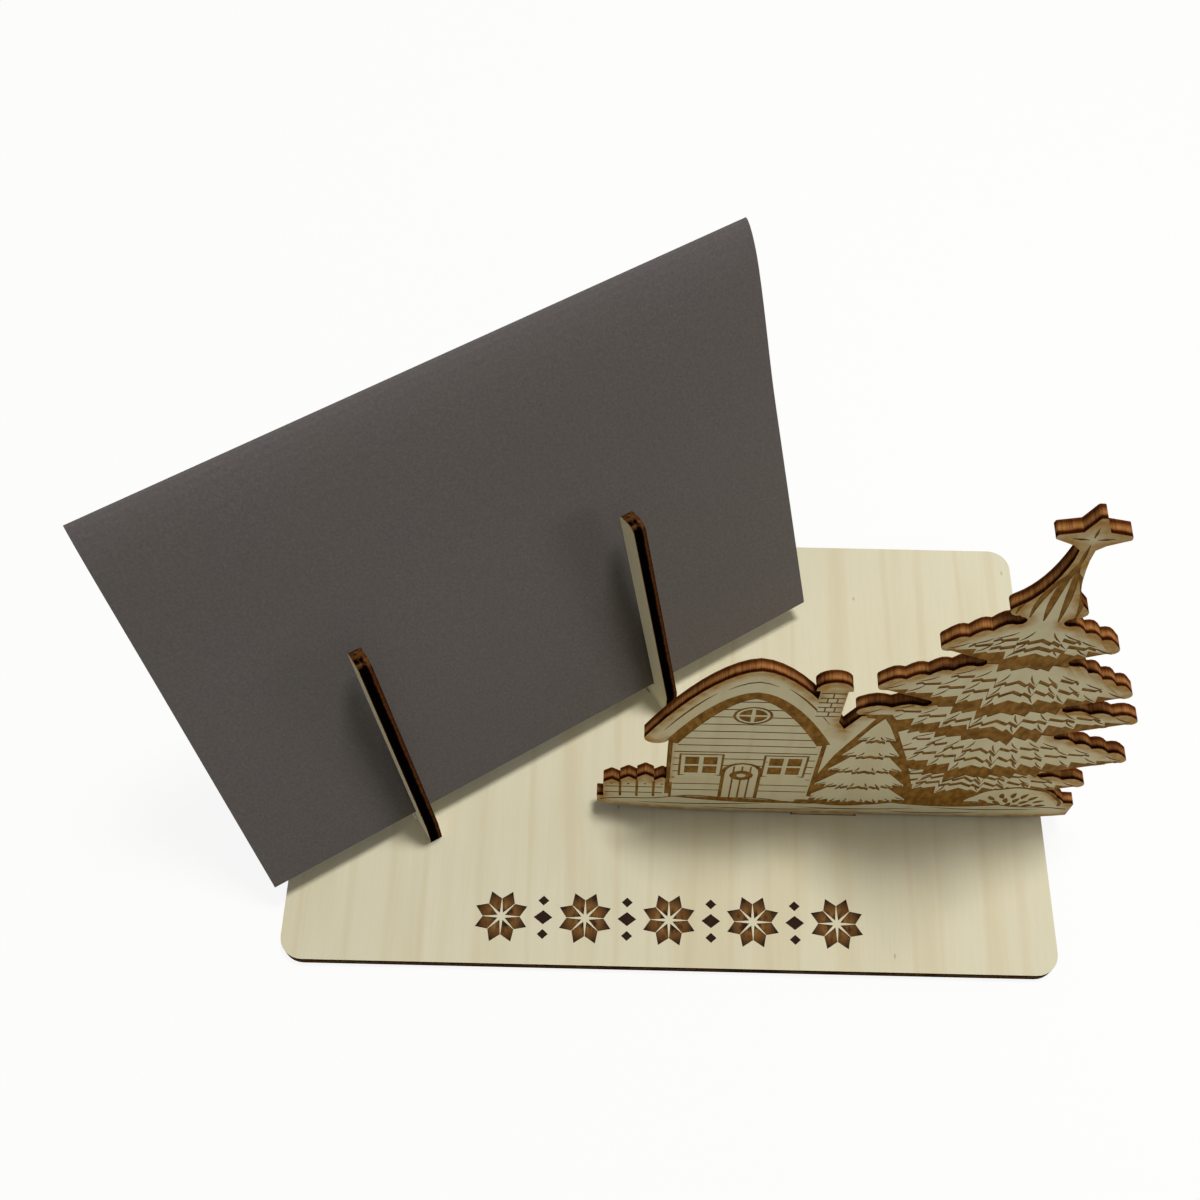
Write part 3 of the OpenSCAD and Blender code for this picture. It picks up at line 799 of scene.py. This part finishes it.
# %% Heat beside the cuts
heat_reach, heat_strength, most_heat = 1.6, 0.40, 0.9
halo_rings = (0.35, 0.8, 1.4, 2.3)


def stretches(points, outline):
    """For each stretch of the outline, its length and the distance of every point to it."""
    for a, b in zip(outline, np.roll(outline, -1, axis=0)):
        d = b - a
        t = np.clip(((points - a) @ d) / max(d @ d, 1e-12), 0, 1)
        yield np.linalg.norm(d), np.linalg.norm(points - a - t[:, None] * d, axis=1)


def heat_at(points, outline):
    """How much heat of the cut reaches each point: most where cuts run on two sides of it."""
    heat = sum(min(length, heat_reach) * np.exp(-(away / heat_reach) ** 2)
               for length, away in stretches(points, outline))
    return np.clip(heat_strength * heat, 0, most_heat)


def inner_rings(outline):
    """Points that follow the outline at each of the halo's distances."""
    found = []
    for a, b in zip(outline, np.roll(outline, -1, axis=0)):
        length = np.linalg.norm(b - a)
        inward = np.array([-(b - a)[1], (b - a)[0]]) / max(length, 1e-9)
        for d in halo_rings:
            count = max(1, round(length / (0.8 + d)))
            for t in (np.arange(count) + 0.5) / count:
                found.append((*(a + (b - a) * t + inward * d), d))
    found = np.array(found)
    nearest = np.min([away for _, away in stretches(found[:, :2], outline)], axis=0)
    return found[nearest > found[:, 2] * 0.93][:, :2]


rings = inner_rings(outline)
print(len(rings), "extra points for the halo")

# %% [markdown]
# The second step is a constrained triangulation. It cuts the panel's face along the outline
# and along every shape's edge, and reports which shapes cover each triangle. Cutting the
# shapes out of a solid one by one would do it too, but far more slowly.

# %% Triangulate the painting
merge_mm = 0.002
inside_only = 1

verts, faces = [], []
for loop in [outline] + [polygon for polygon, _ in painting]:
    faces.append(list(range(len(verts), len(verts) + len(loop))))
    verts += [Vector(p) for p in loop]
verts += [Vector(p) for p in rings]
flat_verts, _, flat_faces, _, _, covers = delaunay_2d_cdt(verts, [], faces, inside_only, merge_mm)
print(len(flat_faces), "triangles before the relief")

# %% [markdown]
# In the third step, triangles whose last shape burns sink to the pocket's floor. Small walls
# join the two levels, and taller ones go round the outline down to a plain back. A height
# texture could move the surface as well, but only this gives the pockets upright walls.

# %% Carve the relief
pocket_depth = 0.1
depth_of = {"top": 0.0, "floor": pocket_depth, "back": face_ply}


def carve(flat_verts, flat_faces, covers, burns):
    """Vertices and faces of the relief, in metres in the CAD frame."""
    vertices, index, polygons, side_of = [], {}, [], {}

    def corner(v, layer):
        if (v, layer) not in index:
            index[v, layer] = len(vertices)
            (x, z), y = flat_verts[v], panel_front_y + depth_of[layer]
            vertices.append((x * MM, y * MM, z * MM))
        return index[v, layer]

    for face, cover in zip(flat_faces, covers):
        if 0 in cover:
            layer = "floor" if burns[max(cover)] else "top"
            polygons.append([corner(v, layer) for v in face])
            side_of.update({edge: layer for edge in zip(face, face[1:] + face[:1])})
    at_floor = {v for edge, layer in side_of.items() if layer == "floor" for v in edge}
    rim = {}
    for (a, b), layer in side_of.items():
        other = side_of.get((b, a))
        if other is None:
            # A wall along the outline also takes in a pocket's floor that ends at its corner
            rim[a] = b
            step = {v: [corner(v, "floor")] if layer == "top" and v in at_floor else [] for v in (a, b)}
            polygons.append([corner(b, layer), corner(a, layer), *step[a],
                             corner(a, "back"), corner(b, "back"), *step[b]])
        elif layer == "top" and other == "floor":
            polygons.append([corner(b, "top"), corner(a, "top"), corner(a, "floor"), corner(b, "floor")])
    polygons.append([corner(v, "back") for v in reversed(walk(rim))])
    return vertices, polygons


relief_verts, relief_faces = carve(flat_verts, flat_faces, covers, [False] + [b for _, b in painting])
print("relief:", len(relief_verts), "vertices,", len(relief_faces), "faces")

# %% [markdown]
# The relief becomes the panel's new face ply. It keeps the outline, place and thickness of
# the CAD one, rides on the panel and takes its slot, and its mesh carries the heat of the
# cuts for the scorch in the wood's material.

# %% New face ply
relief = bpy.data.meshes.new("panel_relief")
relief.from_pydata(relief_verts, [], relief_faces)
panel_relief = bpy.data.objects.new("panel_relief", relief)
bpy.context.scene.collection.objects.link(panel_relief)
relief.materials.append(board_materials["panel"])

heat = heat_at(np.array([(v[0] / MM, v[2] / MM) for v in relief_verts]), outline)
scorch = relief.attributes.new("scorch", "FLOAT", "POINT")
scorch.data.foreach_set("value", heat.astype(np.float32))
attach(panel_relief, "panel")
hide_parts("panel_front_ply")
print(f"heat on the relief: {heat.min():.2f} to {heat.max():.2f}")

# %% [markdown]
# The floor is a wide sheet of pale warm paper. The camera should see it as the white ground
# of a product picture, and yet its bounce on the object should stay soft. So rays that come
# straight from the camera, or by a mirror or glass, see mostly an even white glow, mixed
# with a little of the sheet's own shading, so that a faint shadow stays. All other rays see
# the plain sheet.

# %% Paper floor
floor_half = 40.0
paper_glow = 0.9


def seen_directly(tree):
    """1 for rays from the camera, a mirror or glass, and 0 for light that bounces on."""
    camera_ray = node(tree, "LightPath", {}, "Is Camera Ray")
    rays = camera_ray.node.outputs
    eye = node(tree, "Math", {0: camera_ray, 1: rays["Is Glossy Ray"]}, operation="MAXIMUM")
    return node(tree, "Math", {0: eye, 1: rays["Is Transmission Ray"]}, operation="MAXIMUM")


def white_paper():
    """Matt paper that glows white where the camera looks at it."""
    material, tree, surface = new_material("white_paper_floor")
    surface.inputs["Base Color"].default_value = linear("#EAE6DA")
    surface.inputs["Roughness"].default_value = 0.9
    glow = node(tree, "Emission", {"Color": linear("#FFFFFF"), "Strength": 1.0})
    seen = node(tree, "Math", {0: seen_directly(tree), 1: paper_glow}, operation="MULTIPLY")
    both = node(tree, "MixShader", {0: seen, 1: surface.outputs[0], 2: glow})
    tree.links.new(both, tree.nodes["Material Output"].inputs["Surface"])
    return material


def studio_floor():
    """The square sheet of paper, a fifth of a millimetre under the plate."""
    sheet = bpy.data.meshes.new("studio_floor")
    corners = [(x * floor_half, y * floor_half, 0) for x, y in ((-1, -1), (1, -1), (1, 1), (-1, 1))]
    sheet.from_pydata(corners, [], [(0, 1, 2, 3)])
    sheet.materials.append(white_paper())
    floor = bpy.data.objects.new("studio_floor", sheet)
    floor.location.z = -0.2 * MM
    bpy.context.scene.collection.objects.link(floor)
    return floor


studio_floor()
print(f"floor {2 * floor_half:.0f} m wide")

# %% [markdown]
# The light in the photograph falls almost straight down, a little from the right and from
# behind. One square ceiling lamp gives that: the upright faces turn away from it and stay in
# soft shade, and the panel's shadow reaches only a centimetre forward. An even white world
# fills the shade, at a little over a quarter of its full strength for all but direct rays,
# and a weak lamp low at the right lifts the card's face. Together they light a level surface
# at about 1, so colours come out as they are written.

# %% Lamps and world
fill = 0.28


def soft_lamp(name, place, aim, size, power):
    """A square white area lamp of that size in metres, aimed at a point."""
    data = bpy.data.lights.new(name, "AREA")
    data.shape, data.size, data.energy = "SQUARE", size, power
    lamp = bpy.data.objects.new(name, data)
    lamp.location = place
    lamp.rotation_euler = (Vector(aim) - lamp.location).to_track_quat("-Z", "Y").to_euler()
    lamp.visible_camera = False
    bpy.context.scene.collection.objects.link(lamp)


soft_lamp("lamp_overhead", (0.19, 0.17, 1.29), (0, 0, 0.03), 0.26, 12.6)
soft_lamp("lamp_right", (0.32, 0.0, 0.08), (0.03, 0.0, 0.05), 0.10, 0.2)
world = bpy.data.worlds.new("studio")
world.use_nodes = True
sky = world.node_tree
background = sky.nodes["Background"]
background.inputs["Color"].default_value = linear("#FFFFFF")
strength = node(sky, "Math", {0: seen_directly(sky), 1: 1 - fill, 2: fill}, operation="MULTIPLY_ADD")
sky.links.new(strength, background.inputs["Strength"])
bpy.context.scene.world = world
bpy.context.scene.view_settings.view_transform = "Standard"
print("lamps:", ", ".join(light.name for light in bpy.data.lights))
